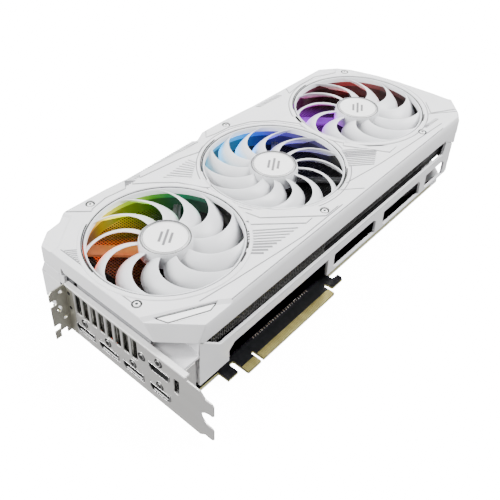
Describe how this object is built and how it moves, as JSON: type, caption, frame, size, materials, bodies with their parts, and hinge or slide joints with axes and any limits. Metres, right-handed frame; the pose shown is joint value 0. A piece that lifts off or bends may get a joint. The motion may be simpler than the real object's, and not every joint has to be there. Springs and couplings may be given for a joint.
{
  "type": "graphics card",
  "caption": "White graphics card with three fans, a finned cooler, a two-slot steel bracket with display sockets, an edge connector and a backplate.",
  "frame": {"origin": "bottom centre of the card lying on its backplate, under the middle of its box", "axes": "+X from the bracket towards the tail, +Y from the edge connector towards the power sockets, +Z from the backplate up through the fans"},
  "size_m": [0.3304, 0.1544, 0.0578],
  "materials": {
    "cover_white": "satin white moulded plastic",
    "fan_plastic": "satin, slightly translucent white plastic",
    "hub_badge": "satin silver-white plate",
    "motor_plastic": "black moulded plastic",
    "light_diffuser": "milky light diffuser",
    "silver_trim": "bright satin trim",
    "screw_steel": "bright screw",
    "fin_metal": "black coated fins",
    "nickel_plate": "nickel plated copper",
    "chip_green": "chip package",
    "chip_black": "black moulded chip",
    "choke_grey": "pressed powder choke",
    "board_black": "black solder mask",
    "contact_gold": "gold plated contacts",
    "socket_black": "black moulded socket",
    "header_white": "off-white header",
    "switch_black": "black switch body",
    "switch_white": "white slider",
    "backplate_white": "white powder coat",
    "bracket_steel": "satin stainless sheet",
    "socket_nickel": "nickel plated shell"
  },
  "bodies": {
    "card": {"front_cover": "cover_white", "slot_side_frame": "cover_white", "power_side_frame": "cover_white", "corner_insert": "silver_trim", "cover_screw_1": "screw_steel", "cover_screw_2": "screw_steel", "cover_screw_3": "screw_steel", "cover_screw_4": "screw_steel", "cover_screw_5": "screw_steel", "cover_screw_6": "screw_steel", "light_strip": "light_diffuser", "light_bar_1": "light_diffuser", "light_bar_2": "light_diffuser", "light_bar_3": "light_diffuser", "fan_frame_1": "motor_plastic", "fan_frame_2": "motor_plastic", "fan_frame_3": "motor_plastic", "fin_stack": "fin_metal", "cold_plate": "nickel_plate", "heat_pipe_1": "nickel_plate", "heat_pipe_2": "nickel_plate", "heat_pipe_3": "nickel_plate", "heat_pipe_4": "nickel_plate", "heat_pipe_5": "nickel_plate", "gpu_package": "chip_green", "memory_chip_1": "chip_black", "memory_chip_2": "chip_black", "memory_chip_3": "chip_black", "memory_chip_4": "chip_black", "memory_chip_5": "chip_black", "memory_chip_6": "chip_black", "memory_chip_7": "chip_black", "memory_chip_8": "chip_black", "choke_bank_1": "choke_grey", "choke_bank_2": "choke_grey", "circuit_board": "board_black", "edge_contacts_short": "contact_gold", "edge_contacts_long": "contact_gold", "power_socket_1": "socket_black", "power_socket_2": "socket_black", "fan_header_1": "header_white", "fan_header_2": "header_white", "firmware_switch_body": "switch_black", "backplate": "backplate_white", "spring_bracket": "bracket_steel", "io_bracket": "bracket_steel", "display_socket_1": "socket_nickel", "display_socket_2": "socket_nickel", "display_socket_3": "socket_nickel", "screen_socket_lower": "socket_nickel", "screen_socket_upper": "socket_nickel"},
    "fan_1": {"fan_rotor_1": "fan_plastic", "fan_cap_1": "hub_badge"},
    "fan_2": {"fan_rotor_2": "fan_plastic", "fan_cap_2": "hub_badge"},
    "fan_3": {"fan_rotor_3": "fan_plastic", "fan_cap_3": "hub_badge"},
    "firmware_slider": {"firmware_switch_slider": "switch_white"}
  },
  "joints": [
    {"name": "fan_1_spin", "type": "hinge", "parent": "card", "child": "fan_1", "pos_m": [-0.09868, 0.01291, 0.05], "axis": [0, 0, 1], "continuous": true},
    {"name": "fan_2_spin", "type": "hinge", "parent": "card", "child": "fan_2", "pos_m": [0.00266, 0.01291, 0.05], "axis": [0, 0, 1], "continuous": true},
    {"name": "fan_3_spin", "type": "hinge", "parent": "card", "child": "fan_3", "pos_m": [0.10401, 0.01291, 0.05], "axis": [0, 0, 1], "continuous": true},
    {"name": "firmware_switch_slide", "type": "slide", "parent": "card", "child": "firmware_slider", "axis": [1, 0, 0], "range_m": [0, 0.002]}
  ]
}
